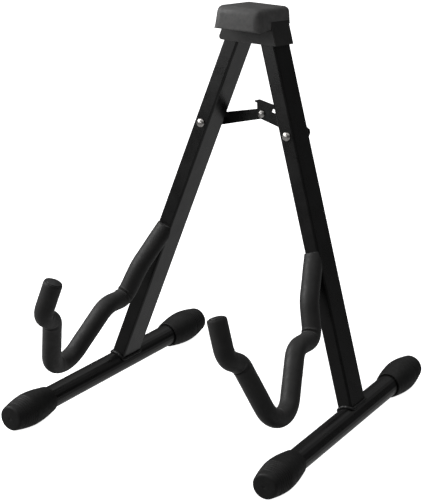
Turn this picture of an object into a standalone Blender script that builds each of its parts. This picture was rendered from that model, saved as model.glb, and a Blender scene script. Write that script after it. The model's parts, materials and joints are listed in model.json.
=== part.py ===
"""Folding A-frame instrument stand: two leg tubes on round foot tubes, joined by a head bracket and a
folding two-bar brace, with a foam-covered cradle arm on each leg.

Units are metres, +Z is up and the front of the stand faces -Y. Each leg has its own frame, an empty on the
foot tube's axis: local +Z runs up the leg, local -Y is forwards and local X is across the tube.
"""

import math

import bmesh
import bpy
from mathutils import Euler, Matrix, Vector

MM = 0.001
SIDES = {"right": 1, "left": -1}

# Clearances
GAP = 0.3 * MM  # between pieces that touch
BORE_PLAY = 0.3 * MM  # radial, round a shank

# The A
LEAN = math.radians(6.5)  # the plane of the legs leans back
LEG_ANGLE = math.radians(18.3)  # each leg from the middle of the A
HALF_STANCE = 132.5 * MM  # foot tube axis from the middle, where the leg meets it

# Leg tube
LEG_WIDTH = 15.0 * MM
LEG_DEPTH = 30.0 * MM
LEG_CORNER = 2.0 * MM
LEG_WALL = 1.2 * MM
LEG_ABOVE_PIVOT = 5.5 * MM

# Foot tube and its rubber caps
FOOT_RADIUS = 11.0 * MM
FOOT_WALL = 1.2 * MM
FOOT_FRONT = 170.0 * MM
FOOT_REAR = 122.5 * MM
CAP_GRIP = 45.0 * MM
CAP_COLLAR_RADIUS = FOOT_RADIUS + 1.9 * MM
CAP_BULGE_RADIUS = FOOT_RADIUS + 5.3 * MM
CAP_END_RADIUS = FOOT_RADIUS + 1.6 * MM
CAP_BULGE_AT = 0.52  # share of the cap's length
CAP_END_WALL = 12.0 * MM
CAP_EDGE = 3.0 * MM  # rounding of the end
CAP_CROWN = 0.6 * MM
CAP_TAPER = 1.6  # power of the curve from the bulge to the end
CAP_COLLAR_CHAMFER = 0.5 * MM
CAP_TREAD = 0.4 * MM  # depth of the flat worn on the underside

# Head bracket, pad and pivot
APEX_TO_PIVOT = 38.0 * MM  # down from where the leg axes cross
APEX_TO_BRACKET_FOOT = 60.0 * MM
APEX_TO_BRACKET_TOP = 31.0 * MM
BRACKET_SHEET = 2.0 * MM
BRACKET_OVERHANG = 4.8 * MM  # past the pivoting leg's outer face
BRACKET_CORNER = 3.0 * MM
PAD_TOP = 25.3 * MM  # below the apex
PAD_BOTTOM = 47.3 * MM  # at its front lip
PAD_BOTTOM_RISE = 6.0 * MM  # from the front lip to the rear
PAD_RIGHT = 24.5 * MM
PAD_LEFT = 26.8 * MM
PAD_FRONT = 40.0 * MM  # ahead of the legs' middle plane
PAD_REAR = 21.5 * MM
PAD_ROUNDING = 5.0 * MM
PAD_ROOF = 2.9 * MM
PAD_SKIRT = 41.0 * MM  # foot of the skirt over the bracket, below the apex
PAD_LOWER_EDGE = 0.25  # share of the rounding that the lower edges get
PIVOT_RADIUS = 3.0 * MM
PIVOT_HEAD_RADIUS = 5.5 * MM
PIVOT_HEAD_HEIGHT = 3.2 * MM
PIVOT_WASHER_RADIUS = 6.0 * MM
PIVOT_NUT_FLATS = 10.0 * MM
PIVOT_NUT_HEIGHT = 4.0 * MM
BUSH_WALL = 1.0 * MM

# Folding brace
BRACE_UP_LEG = 271.5 * MM  # bolt from the foot axis, along the leg
BRACE_PEAK = math.radians(13.8)  # each bar above level
BAR_WIDTH = 12.0 * MM
BAR_SHEET = 2.0 * MM
BAR_INNER_END_RADIUS = 5.0 * MM
BAR_STANDOFF = 2.7 * MM
WASHER_SHEET = 1.0 * MM
WASHER_RADIUS = 4.6 * MM
BOLT_RADIUS = 2.0 * MM
BOLT_HEAD_RADIUS = 4.3 * MM
BOLT_HEAD_HEIGHT = 2.6 * MM
NUT_FLATS = 7.0 * MM
NUT_HEIGHT = 3.2 * MM
BOLT_TAIL = 0.9 * MM
RIVET_RADIUS = 2.2 * MM
RIVET_HEAD_RADIUS = 4.0 * MM
RIVET_HEAD_HEIGHT = 2.2 * MM
RIVET_TAIL_HEIGHT = 1.8 * MM
TAB_WEB = [(4.85, 0.9), (6.2, 3.0), (8.5, 9.4), (-9.5, 9.6), (-9.5, 5.2)]  # mm past and above the rivet
TAB_LENGTH = 25.0 * MM
TAB_PAST_RIVET = 10.5 * MM
TAB_DEPTH = 9.6 * MM
TAB_LEDGE = 1.0 * MM  # ahead of the bar's face
TAB_RISE = 9.8 * MM  # above the bar's middle line
TAB_TILT = math.radians(2.3)
TAB_SHEET = 1.5 * MM

# Cradle arm: corners of the bent rod as (up the leg, ahead of the leg's middle), and the bend at each
ARM_CORNERS = [
    (164.0 * MM, 6.3 * MM),
    (117.2 * MM, 37.0 * MM),
    (83.2 * MM, 44.7 * MM),
    (81.3 * MM, 77.0 * MM),
    (1.7 * MM, 129.6 * MM),
    (87.6 * MM, 171.1 * MM),
    (96.5 * MM, 192.1 * MM),
    (133.0 * MM, 192.5 * MM),
]
ARM_BENDS = [35.0 * MM, 14.0 * MM, 20.0 * MM, 26.0 * MM, 12.5 * MM, 14.5 * MM]
ARM_TOE_IN = math.radians(1.16)
ROD_RADIUS = 5.0 * MM
FOAM_RADIUS = 9.2 * MM
FOAM_TOP = 160.0 * MM  # where the sleeve is cut square, up the leg
TIP_RADIUS = 7.6 * MM
TIP_DOME = 1.1 * MM
TIP_RIM = 0.9 * MM
TIP_SKIRT = 8.0 * MM
TIP_WALL = 1.1 * MM
ROD_SLIP = 0.4 * MM  # between the rod and the sleeve

# Welds
BEAD_RADIUS = 1.5 * MM

# Smoothness
ROUND_STEPS = 24
SMALL_STEPS = 16
TUBE_SIDES_RESOLUTION = 4
DEGREES_PER_BEND_STEP = 13.0
SMOOTH_ANGLE = math.radians(35)

# Worked out from the dimensions above
FOOT_SPLAY = math.asin(math.sin(LEAN) * math.sin(LEG_ANGLE))  # keeps both feet flat, and parallel when folded
FOOT_AXIS_HEIGHT = CAP_BULGE_RADIUS - CAP_TREAD
APEX_UP = HALF_STANCE / math.tan(LEG_ANGLE)  # up the middle of the A, from the foot axes
LEG_TO_APEX = HALF_STANCE / math.sin(LEG_ANGLE)
PIVOT_UP_LEG = LEG_TO_APEX - APEX_TO_PIVOT / math.cos(LEG_ANGLE)
BOLT_HALF_SPAN = HALF_STANCE - BRACE_UP_LEG * math.sin(LEG_ANGLE)
BAR_LENGTH = BOLT_HALF_SPAN / math.cos(BRACE_PEAK)
LEG_FACE = LEG_DEPTH / 2
PLATE_INNER = LEG_FACE + GAP
PLATE_OUTER = PLATE_INNER + BRACKET_SHEET
RIGHT_BAR_FRONT = LEG_FACE + BAR_STANDOFF + 2 * GAP  # distances behind the legs' middle plane
RIGHT_BAR_BACK = RIGHT_BAR_FRONT + BAR_SHEET
LEFT_BAR_FRONT = RIGHT_BAR_BACK + WASHER_SHEET + 2 * GAP
LEFT_BAR_BACK = LEFT_BAR_FRONT + BAR_SHEET
BORE_RADIUS = BOLT_RADIUS + BORE_PLAY
CAP_LENGTH = CAP_GRIP + CAP_END_WALL

PAINT = {"color": (0.012, 0.012, 0.013, 1), "rough": 0.32, "metal": 0.0}
RUBBER = {"color": (0.02, 0.02, 0.021, 1), "rough": 0.7, "metal": 0.0}
FOAM = {"color": (0.016, 0.016, 0.017, 1), "rough": 0.6, "metal": 0.0}
NICKEL = {"color": (0.75, 0.75, 0.74, 1), "rough": 0.25, "metal": 1.0}
NYLON = {"color": (0.75, 0.74, 0.7, 1), "rough": 0.5, "metal": 0.0}


def clear_scene():
    for obj in list(bpy.data.objects):
        bpy.data.objects.remove(obj, do_unlink=True)


def new_collection(name):
    collection = bpy.data.collections.new(name)
    bpy.context.scene.collection.children.link(collection)
    return collection


def give_material(obj, look):
    material = bpy.data.materials.new(obj.name)
    material.use_nodes = True
    shader = material.node_tree.nodes["Principled BSDF"]
    shader.inputs["Base Color"].default_value = look["color"]
    shader.inputs["Roughness"].default_value = look["rough"]
    shader.inputs["Metallic"].default_value = look["metal"]
    obj.data.materials.clear()
    obj.data.materials.append(material)


def place(obj, collection, parent, location=(0, 0, 0), rotation=(0, 0, 0)):
    collection.objects.link(obj)
    obj.parent = parent
    obj.location = location
    obj.rotation_euler = Euler(rotation)
    return obj


def empty(name, parent=None, location=(0, 0, 0), rotation=(0, 0, 0)):
    return place(bpy.data.objects.new(name, None), PARTS, parent, location, rotation)


def as_cutter(obj):
    obj.hide_render = True
    obj.display_type = "WIRE"
    return obj


def box(name, low, high, collection, parent, **where):
    """A box between two corners."""
    low, high = Vector(low), Vector(high)
    mesh = bpy.data.meshes.new(name)
    work = bmesh.new()
    size = Matrix.Diagonal((*(high - low), 1))
    bmesh.ops.create_cube(work, size=1, matrix=Matrix.Translation((low + high) / 2) @ size)
    work.to_mesh(mesh)
    work.free()
    return place(bpy.data.objects.new(name, mesh), collection, parent, **where)


def cylinder(name, radius, start, end, collection, parent, steps=SMALL_STEPS, **where):
    """A cylinder along local Y from start to end."""
    mesh = bpy.data.meshes.new(name)
    work = bmesh.new()
    bmesh.ops.create_cone(
        work, cap_ends=True, segments=steps, radius1=radius, radius2=radius, depth=end - start
    )
    turn = Matrix.Rotation(math.radians(-90), 4, "X")
    bmesh.ops.transform(work, matrix=Matrix.Translation((0, (start + end) / 2, 0)) @ turn, verts=work.verts)
    work.to_mesh(mesh)
    work.free()
    return place(bpy.data.objects.new(name, mesh), collection, parent, **where)


def turned(name, profile, parent, steps=SMALL_STEPS, **where):
    """A turned piece: a closed profile of (radius, height), down its outer side first, spun about local Z."""
    mesh = bpy.data.meshes.new(name)
    points = [(radius, 0, height) for radius, height in profile]
    edges = [(i, (i + 1) % len(points)) for i in range(len(points))]
    if profile[0][0] == 0 and profile[-1][0] == 0:
        edges.pop()
    mesh.from_pydata(points, edges, [])
    obj = place(bpy.data.objects.new(name, mesh), PARTS, parent, **where)
    screw = obj.modifiers.new("turn", "SCREW")
    screw.steps = steps
    screw.render_steps = steps
    screw.use_merge_vertices = True
    screw.merge_threshold = 0.00001
    screw.use_smooth_shade = True
    return obj


def dome_profile(radius, height, base, steps):
    """The outer side of a dome from its top, which is on the axis, down to its rim."""
    angles = [math.pi / 2 * (1 - i / steps) for i in range(1, steps + 1)]
    sides = [(radius * math.cos(a), base + height * math.sin(a)) for a in angles]
    return [(0, base + height)] + sides


def ring(name, outer, inner, height, parent, steps=SMALL_STEPS, **where):
    """A plain ring about local Z."""
    return turned(name, [(outer, height), (outer, 0), (inner, 0), (inner, height)], parent, steps, **where)


def outline_curve(name, outlines, thickness, collection, parent, **where):
    """A flat plate of this thickness, centred on local Z, from closed outlines; later ones are holes."""
    curve = bpy.data.curves.new(name, "CURVE")
    curve.dimensions = "2D"
    curve.fill_mode = "BOTH"
    curve.extrude = thickness / 2
    for outline in outlines:
        spline = curve.splines.new("POLY")
        spline.points.add(len(outline) - 1)
        for point, (x, y) in zip(spline.points, outline):
            point.co = (x, y, 0, 1)
        spline.use_cyclic_u = True
    return place(bpy.data.objects.new(name, curve), collection, parent, **where)


def to_mesh(obj):
    """Replaces a curve object by its mesh, with the loose caps welded."""
    bpy.context.view_layer.update()
    graph = bpy.context.evaluated_depsgraph_get()
    mesh = bpy.data.meshes.new_from_object(obj.evaluated_get(graph))
    work = bmesh.new()
    work.from_mesh(mesh)
    bmesh.ops.remove_doubles(work, verts=work.verts, dist=0.000001)
    bmesh.ops.recalc_face_normals(work, faces=work.faces)
    work.to_mesh(mesh)
    work.free()
    name, parent, collections = obj.name, obj.parent, obj.users_collection
    location, rotation = obj.location.copy(), obj.rotation_euler.copy()
    bpy.data.objects.remove(obj, do_unlink=True)
    mesh.name = name
    made = bpy.data.objects.new(name, mesh)
    for collection in collections:
        collection.objects.link(made)
    made.parent = parent
    made.location = location
    made.rotation_euler = rotation
    return made


def boolean(obj, other, operation="DIFFERENCE"):
    modifier = obj.modifiers.new(other.name, "BOOLEAN")
    modifier.operation = operation
    modifier.object = other
    as_cutter(other)


def smooth(obj):
    obj.data.shade_smooth()
    obj.data.set_sharp_from_angle(angle=SMOOTH_ANGLE)


def finish(obj, look):
    give_material(obj, look)
    if obj.type == "MESH" and obj.data.polygons:
        smooth(obj)
    return obj


def arc(centre, radius, start, end, steps):
    """Points on an arc, with its angles in degrees."""
    angles = [math.radians(start + (end - start) * i / steps) for i in range(steps + 1)]
    return [(centre[0] + radius * math.cos(a), centre[1] + radius * math.sin(a)) for a in angles]


def circle(radius, centre=(0, 0), steps=SMALL_STEPS):
    return arc(centre, radius, 0, 360, steps)[:-1]


def hexagon(flats):
    return circle(flats / math.sqrt(3), steps=6)


def rounded_rectangle(width, depth, radius, steps=3):
    points = []
    for quarter, (sx, sy) in enumerate([(1, 1), (-1, 1), (-1, -1), (1, -1)]):
        centre = (sx * (width / 2 - radius), sy * (depth / 2 - radius))
        points += arc(centre, radius, 90 * quarter, 90 * quarter + 90, steps)
    return points


def fillet(before, corner, after, radius):
    """The points of an arc of this radius that rounds a corner of a path."""
    into, out = (before - corner).normalized(), (after - corner).normalized()
    opening = into.angle(out)
    turn = math.pi - opening
    bisector = (into + out).normalized()
    centre = corner + bisector * (radius / math.sin(opening / 2))
    start = corner + into * (radius / math.tan(opening / 2)) - centre
    axis = start.cross(-into).normalized()
    steps = max(2, round(math.degrees(turn) / DEGREES_PER_BEND_STEP))
    return [centre + Matrix.Rotation(turn * i / steps, 3, axis) @ start for i in range(steps + 1)]


def arm_path():
    """The rod's middle line in the arm's frame, from inside the leg to its tip."""
    corners = [Vector((0, -ahead, up)) for up, ahead in ARM_CORNERS]
    points = [corners[0]]
    for i, radius in enumerate(ARM_BENDS, start=1):
        points += fillet(corners[i - 1], corners[i], corners[i + 1], radius)
    return points + [corners[-1]]


def tube_curve(name, points, radius, parent, capped, cyclic=False, resolution=TUBE_SIDES_RESOLUTION):
    curve = bpy.data.curves.new(name, "CURVE")
    curve.dimensions = "3D"
    curve.bevel_depth = radius
    curve.bevel_resolution = resolution
    curve.use_fill_caps = capped
    spline = curve.splines.new("POLY")
    spline.points.add(len(points) - 1)
    for point, position in zip(spline.points, points):
        point.co = (*position, 1)
    spline.use_cyclic_u = cyclic
    return to_mesh(place(bpy.data.objects.new(name, curve), PARTS, parent))


def cap_profile():
    """The outer side of a foot cap as (radius, distance from its collar), from the end to the collar."""
    bulge_at = CAP_LENGTH * CAP_BULGE_AT
    shoulder_at = CAP_LENGTH - CAP_EDGE
    drop = CAP_BULGE_RADIUS - CAP_END_RADIUS
    rise = CAP_BULGE_RADIUS - CAP_COLLAR_RADIUS
    points = [
        (0, CAP_LENGTH + CAP_CROWN),
        (0.75 * CAP_END_RADIUS, CAP_LENGTH),
        (CAP_END_RADIUS - 0.3 * CAP_EDGE, CAP_LENGTH - 0.3 * CAP_EDGE),
        (CAP_END_RADIUS, shoulder_at),
    ]
    taper = shoulder_at - bulge_at
    for share in (0.75, 0.5, 0.25):
        points.append((CAP_BULGE_RADIUS - drop * share**CAP_TAPER, bulge_at + taper * share))
    for share in (1, 0.75, 0.5, 0.25, 0.08):
        points.append((CAP_COLLAR_RADIUS + rise * math.sin(share * math.pi / 2), bulge_at * share))
    return points + [(CAP_COLLAR_RADIUS - CAP_COLLAR_CHAMFER, 0)]


def arm_front_reach():
    """How far the foam reaches ahead of the foot of the leg, over the floor."""
    turn = Matrix.Rotation(-LEAN, 3, "X") @ Matrix.Rotation(-LEG_ANGLE, 3, "Y")
    turn = turn @ Matrix.Rotation(-ARM_TOE_IN, 3, "Z")
    points = [turn @ point for point in arm_path()]
    reach = 0
    for first, second in zip(points, points[1:]):
        run = (second - first).normalized()
        spread = FOAM_RADIUS * math.sqrt(max(0.0, 1 - run.y**2))
        reach = max(reach, spread - first.y, spread - second.y)
    return reach


def footprint_shift():
    """Where the legs stand along Y, so that the origin is in the middle of the footprint."""
    along, across = math.cos(FOOT_SPLAY), math.sin(FOOT_SPLAY)
    cap_reach = max(height * along + radius * across for radius, height in cap_profile())
    front = max(arm_front_reach(), (FOOT_FRONT - CAP_GRIP) * along + cap_reach)
    rear = (FOOT_REAR - CAP_GRIP) * along + cap_reach
    return (front - rear) / 2


def make_frames():
    """Empties for the A, each leg, each foot and each arm."""
    plane = empty("a_frame", location=(0, footprint_shift(), FOOT_AXIS_HEIGHT), rotation=(-LEAN, 0, 0))
    frames = {"plane": plane}
    for side, sign in SIDES.items():
        leg = empty(f"leg_axis_{side}", plane, (sign * HALF_STANCE, 0, 0), (0, -sign * LEG_ANGLE, 0))
        frames[side] = {
            "leg": leg,
            "arm": empty(f"arm_axis_{side}", leg, rotation=(0, 0, -sign * ARM_TOE_IN)),
            "foot": empty(
                f"foot_axis_{side}",
                location=(sign * HALF_STANCE, footprint_shift(), FOOT_AXIS_HEIGHT),
                rotation=(0, 0, sign * FOOT_SPLAY),
            ),
        }
    pivot_x = (LEG_TO_APEX - PIVOT_UP_LEG) * math.sin(LEG_ANGLE)
    frames["pivot"] = empty("fold_axis", plane, (-pivot_x, 0, APEX_UP - APEX_TO_PIVOT))
    bolt_up = BRACE_UP_LEG * math.cos(LEG_ANGLE)
    for side, sign in SIDES.items():
        at = (sign * BOLT_HALF_SPAN, 0, bolt_up)
        frames[side]["bolt"] = empty(f"brace_axis_{side}", plane, at, (0, sign * BRACE_PEAK, 0))
    middle = bolt_up + BAR_LENGTH * math.sin(BRACE_PEAK)
    frames["rivet"] = empty("brace_middle_axis", plane, (0, 0, middle), (0, BRACE_PEAK, 0))
    return frames


def make_leg(side, frames):
    leg = frames[side]["leg"]
    top = PIVOT_UP_LEG + LEG_ABOVE_PIVOT
    outlines = [
        rounded_rectangle(LEG_WIDTH, LEG_DEPTH, LEG_CORNER),
        rounded_rectangle(LEG_WIDTH - 2 * LEG_WALL, LEG_DEPTH - 2 * LEG_WALL, LEG_CORNER - LEG_WALL),
    ]
    tube = to_mesh(outline_curve(f"leg_{side}", outlines, top, PARTS, leg, location=(0, 0, top / 2)))
    foot = frames[side]["foot"]
    saddle = f"saddle_cut_{side}"
    boolean(tube, cylinder(saddle, FOOT_RADIUS + GAP, -LEG_DEPTH, LEG_DEPTH, CUTTERS, foot, ROUND_STEPS * 2))
    bore, up = f"brace_bore_{side}", (0, 0, BRACE_UP_LEG)
    boolean(tube, cylinder(bore, BORE_RADIUS, -LEG_DEPTH, LEG_DEPTH, CUTTERS, leg, location=up))
    if side == "left":
        radius = PIVOT_RADIUS + BORE_PLAY
        boolean(tube, cylinder("pivot_bore", radius, -LEG_DEPTH, LEG_DEPTH, CUTTERS, frames["pivot"]))
    finish(tube, PAINT)


def make_foot(side, frames):
    foot = frames[side]["foot"]
    inner = FOOT_RADIUS - FOOT_WALL
    rotation = (math.radians(90), 0, 0)
    tube = ring(
        f"foot_tube_{side}",
        FOOT_RADIUS,
        inner,
        FOOT_FRONT + FOOT_REAR,
        foot,
        ROUND_STEPS,
        location=(0, FOOT_REAR, 0),
        rotation=rotation,
    )
    finish(tube, PAINT)
    floor = box(
        f"floor_cut_{side}",
        (-2 * CAP_BULGE_RADIUS, -2 * FOOT_FRONT, -2 * CAP_BULGE_RADIUS),
        (2 * CAP_BULGE_RADIUS, 2 * FOOT_FRONT, -FOOT_AXIS_HEIGHT),
        CUTTERS,
        foot,
    )
    socket = FOOT_RADIUS + GAP
    inside = [(socket, 0), (socket, CAP_GRIP + GAP), (0, CAP_GRIP + GAP)]
    for end, sign, reach in (("front", -1, FOOT_FRONT), ("rear", 1, FOOT_REAR)):
        cap = turned(
            f"foot_cap_{side}_{end}",
            cap_profile() + inside,
            foot,
            ROUND_STEPS,
            location=(0, sign * (reach - CAP_GRIP), 0),
            rotation=(math.radians(-90 * sign), 0, 0),
        )
        boolean(cap, floor)
        finish(cap, RUBBER)


def make_foot_weld(side, frames):
    """A bead of weld round the foot of the leg, lying on the foot tube."""
    leg, foot = frames[side]["leg"], frames[side]["foot"]
    bpy.context.view_layer.update()
    along = (leg.matrix_world.inverted() @ foot.matrix_world).to_3x3() @ Vector((0, 1, 0))
    off = BEAD_RADIUS + 2 * GAP
    reach = FOOT_RADIUS + off
    corners = rounded_rectangle(LEG_WIDTH + 2 * off, LEG_DEPTH + 2 * off, LEG_CORNER + off, 2)
    outline = [Vector(point) for point in corners]
    route = []
    for i, point in enumerate(outline):
        steps = max(1, round((point - outline[i - 1]).length / (2 * BEAD_RADIUS)))
        route += [outline[i - 1].lerp(point, step / steps) for step in range(1, steps + 1)]
    points = []
    for x, y in route:
        # Height at which (x, y, z) is this far from the foot tube's axis
        a = 1 - along.z**2
        b = -2 * along.z * (x * along.x + y * along.y)
        c = x**2 + y**2 - (x * along.x + y * along.y) ** 2 - reach**2
        points.append((x, y, (-b + math.sqrt(b * b - 4 * a * c)) / (2 * a)))
    bead = tube_curve(f"weld_foot_{side}", points, BEAD_RADIUS, leg, False, cyclic=True, resolution=1)
    finish(bead, PAINT)


def make_arm(side, frames):
    arm, leg = frames[side]["arm"], frames[side]["leg"]
    path = arm_path()
    wide = 3 * FOAM_RADIUS
    far = (wide, LEG_DEPTH, LEG_TO_APEX)
    behind = box(f"arm_back_cut_{side}", (-wide, -LEG_FACE - GAP, 0), far, CUTTERS, leg)
    above = box(f"foam_top_cut_{side}", (-wide, -3 * LEG_DEPTH, FOAM_TOP), far, CUTTERS, leg)
    tip = path[-1]
    rod_path = path[:-1] + [tip - Vector((0, 0, 2 * GAP))]
    rod = tube_curve(f"arm_rod_{side}", rod_path, ROD_RADIUS, arm, True)
    boolean(rod, behind)
    finish(rod, PAINT)

    foam = tube_curve(f"arm_foam_{side}", path, FOAM_RADIUS, arm, False)
    wall = foam.modifiers.new("wall", "SOLIDIFY")
    wall.thickness = FOAM_RADIUS - ROD_RADIUS - ROD_SLIP
    wall.offset = -1
    wall.use_even_offset = True
    boolean(foam, behind)
    boolean(foam, above)
    skirt_radius = ROD_RADIUS + GAP + TIP_WALL
    pocket = cylinder(
        f"foam_end_bore_{side}",
        skirt_radius + GAP,
        -TIP_SKIRT - GAP,
        TIP_SKIRT,
        CUTTERS,
        arm,
        ROUND_STEPS,
        location=tip,
        rotation=(math.radians(90), 0, 0),
    )
    boolean(foam, pocket)
    finish(foam, FOAM)

    profile = dome_profile(TIP_RADIUS, TIP_DOME, GAP + TIP_RIM, 3) + [
        (TIP_RADIUS, GAP),
        (skirt_radius, GAP),
        (skirt_radius, -TIP_SKIRT),
        (ROD_RADIUS + GAP, -TIP_SKIRT),
        (ROD_RADIUS + GAP, -GAP),
        (0, -GAP),
    ]
    finish(turned(f"arm_tip_{side}", profile, arm, SMALL_STEPS, location=tip), RUBBER)


def leg_line(sign, offset, below_apex):
    """A point in the A's plane on a line parallel to a leg, this far outside its axis and below the apex."""
    x = below_apex * math.tan(LEG_ANGLE) + offset / math.cos(LEG_ANGLE)
    return Vector((sign * x, APEX_UP - below_apex))


def bracket_outline(right_offset, left_offset, grow=0.0):
    """The bracket's face as (across, up): a trapezium that follows both legs, its pivot corners rounded."""
    low, high = APEX_TO_BRACKET_FOOT + grow, APEX_TO_BRACKET_TOP - grow
    corners = [
        (leg_line(1, right_offset + grow, low), 0),
        (leg_line(1, right_offset + grow, high), 0),
        (leg_line(-1, left_offset + grow, high), 2 * BRACKET_CORNER),
        (leg_line(-1, left_offset + grow, low), BRACKET_CORNER),
    ]
    outline = []
    for i, (corner, radius) in enumerate(corners):
        if radius:
            before, after = corners[i - 1][0], corners[(i + 1) % len(corners)][0]
            rounded = fillet(before.to_3d(), corner.to_3d(), after.to_3d(), radius)
            outline += [(point.x, point.y) for point in rounded]
        else:
            outline.append((corner.x, corner.y))
    return outline


def upright(outline, name, thickness, collection, plane, behind=0.0):
    """A plate in the A's plane: its outline's second coordinate runs up."""
    plate = outline_curve(
        name,
        [outline],
        thickness,
        collection,
        plane,
        location=(0, behind, 0),
        rotation=(math.radians(90), 0, 0),
    )
    return to_mesh(plate)


def make_bracket(frames):
    plane = frames["plane"]
    leg_side = LEG_WIDTH / 2 + GAP
    right, left = leg_side + BRACKET_SHEET, LEG_WIDTH / 2 + BRACKET_OVERHANG
    bracket = upright(bracket_outline(right, left), "head_bracket", 2 * PLATE_OUTER, PARTS, plane)
    far = LEG_DEPTH * 2
    room = [
        leg_line(1, leg_side, APEX_TO_BRACKET_FOOT + far),
        leg_line(1, leg_side, 0),
        leg_line(-1, left + far, 0),
        leg_line(-1, left + far, APEX_TO_BRACKET_FOOT + far),
    ]
    inside = upright([(p.x, p.y) for p in room], "bracket_inside", 2 * PLATE_INNER, CUTTERS, plane)
    boolean(bracket, inside)
    radius = PIVOT_RADIUS + BORE_PLAY
    boolean(bracket, cylinder("bracket_bore", radius, -LEG_DEPTH, LEG_DEPTH, CUTTERS, frames["pivot"]))
    finish(bracket, PAINT)


def make_pad(frames):
    plane = frames["plane"]
    bottom, top = APEX_UP - PAD_BOTTOM, APEX_UP - PAD_TOP
    middle = (bottom + top) / 2
    pad = box("head_pad", (-PAD_LEFT, -PAD_FRONT, bottom), (PAD_RIGHT, PAD_REAR, top), PARTS, plane)
    for vertex in pad.data.vertices:
        if vertex.co.y > 0 and vertex.co.z < middle:
            vertex.co.z += PAD_BOTTOM_RISE
    weight = pad.data.attributes.new("bevel_weight_edge", "FLOAT", "EDGE")
    for edge in pad.data.edges:
        heights = [pad.data.vertices[v].co.z for v in edge.vertices]
        weight.data[edge.index].value = 1.0 if max(heights) > middle else PAD_LOWER_EDGE
    bevel = pad.modifiers.new("rounding", "BEVEL")
    bevel.width = PAD_ROUNDING
    bevel.segments = 4
    bevel.limit_method = "WEIGHT"
    bevel.use_clamp_overlap = True
    leg_side = LEG_WIDTH / 2 + GAP
    right, left = leg_side + BRACKET_SHEET, LEG_WIDTH / 2 + BRACKET_OVERHANG
    roof, skirt = PAD_TOP + PAD_ROOF, PAD_SKIRT
    wide, low, high = 2 * PAD_LEFT, APEX_UP - 2 * PAD_BOTTOM, APEX_UP - skirt
    room = [
        (-wide, low),
        (wide, low),
        (wide, high),
        leg_line(1, right + GAP, skirt),
        leg_line(1, right + GAP, roof),
        leg_line(-1, left + GAP, roof),
        leg_line(-1, left + GAP, skirt),
        (-wide, high),
    ]
    boolean(pad, upright(room, "pad_pocket", 2 * (PLATE_OUTER + GAP), CUTTERS, plane))
    head_room = PIVOT_HEAD_RADIUS + 2 * GAP
    head_end = PLATE_OUTER + PIVOT_HEAD_HEIGHT + 3 * GAP
    nut_room = PIVOT_WASHER_RADIUS + 2 * GAP
    down = 2 * PAD_BOTTOM
    for name, half, front, back in (
        ("pad_head_room", head_room, -head_end, 0),
        ("pad_nut_notch", nut_room, 0, 2 * PAD_REAR),
    ):
        slot = outline_curve(
            name,
            [arc((0, 0), half, 0, 180, SMALL_STEPS) + [(-half, -down), (half, -down)]],
            back - front,
            CUTTERS,
            frames["pivot"],
            location=(0, (front + back) / 2, 0),
            rotation=(math.radians(90), 0, 0),
        )
        boolean(pad, to_mesh(slot))
    finish(pad, RUBBER)


def bolt(name, head_radius, head_height, radius, front, back, parent, **where):
    """A round-headed bolt along local Y: its head ahead of front, and its shank back to back."""
    length = back - front
    profile = dome_profile(head_radius, head_height, 0, 4) + [(radius, 0), (radius, -length), (0, -length)]
    location = Vector(where.pop("location", (0, 0, 0))) + Vector((0, front, 0))
    rotation = (math.radians(90), 0, 0)
    return finish(turned(name, profile, parent, SMALL_STEPS, location=location, rotation=rotation), NICKEL)


def washer(name, outer, inner, front, back, parent, look, **where):
    location = Vector(where.pop("location", (0, 0, 0))) + Vector((0, back, 0))
    rotation = (math.radians(90), 0, 0)
    made = ring(name, outer, inner, back - front, parent, location=location, rotation=rotation)
    return finish(made, look)


def nut(name, flats, bore, front, back, parent, **where):
    location = Vector(where.pop("location", (0, 0, 0))) + Vector((0, (front + back) / 2, 0))
    made = outline_curve(
        name,
        [hexagon(flats), circle(bore)],
        back - front,
        PARTS,
        parent,
        location=location,
        rotation=(math.radians(90), 0, 0),
    )
    return finish(to_mesh(made), NICKEL)


def make_pivot(frames):
    """The bolt that the left leg folds on, with its bush, washer and nut."""
    pivot = frames["pivot"]
    bore = PIVOT_RADIUS + BORE_PLAY
    washer_front = PLATE_OUTER + GAP
    washer_back = washer_front + WASHER_SHEET
    nut_front = washer_back + GAP
    nut_back = nut_front + PIVOT_NUT_HEIGHT
    bolt(
        "pivot_bolt",
        PIVOT_HEAD_RADIUS,
        PIVOT_HEAD_HEIGHT,
        PIVOT_RADIUS,
        -PLATE_OUTER - GAP,
        nut_back + BOLT_TAIL,
        pivot,
    )
    washer("pivot_washer", PIVOT_WASHER_RADIUS, bore, washer_front, washer_back, pivot, NICKEL)
    nut("pivot_nut", PIVOT_NUT_FLATS, bore, nut_front, nut_back, pivot)
    inside = LEG_FACE - LEG_WALL - GAP
    washer("pivot_bush", bore + BUSH_WALL, bore, -inside, inside, pivot, NYLON)


def make_brace_bolts(frames):
    for side, bar_front, bar_back in (
        ("right", RIGHT_BAR_FRONT, RIGHT_BAR_BACK),
        ("left", LEFT_BAR_FRONT, LEFT_BAR_BACK),
    ):
        axis = frames[side]["bolt"]
        washer_front = bar_back + GAP
        washer_back = washer_front + WASHER_SHEET
        nut_front = washer_back + GAP
        nut_back = nut_front + NUT_HEIGHT
        bolt(
            f"brace_bolt_{side}",
            BOLT_HEAD_RADIUS,
            BOLT_HEAD_HEIGHT,
            BOLT_RADIUS,
            -LEG_FACE - GAP,
            nut_back + BOLT_TAIL,
            axis,
        )
        ring_sizes = (WASHER_RADIUS, BORE_RADIUS)
        washer(f"brace_spacer_{side}", *ring_sizes, LEG_FACE + GAP, bar_front - GAP, axis, NYLON)
        washer(f"brace_washer_{side}", *ring_sizes, washer_front, washer_back, axis, NICKEL)
        nut(f"brace_nut_{side}", NUT_FLATS, BORE_RADIUS, nut_front, nut_back, axis)


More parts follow.
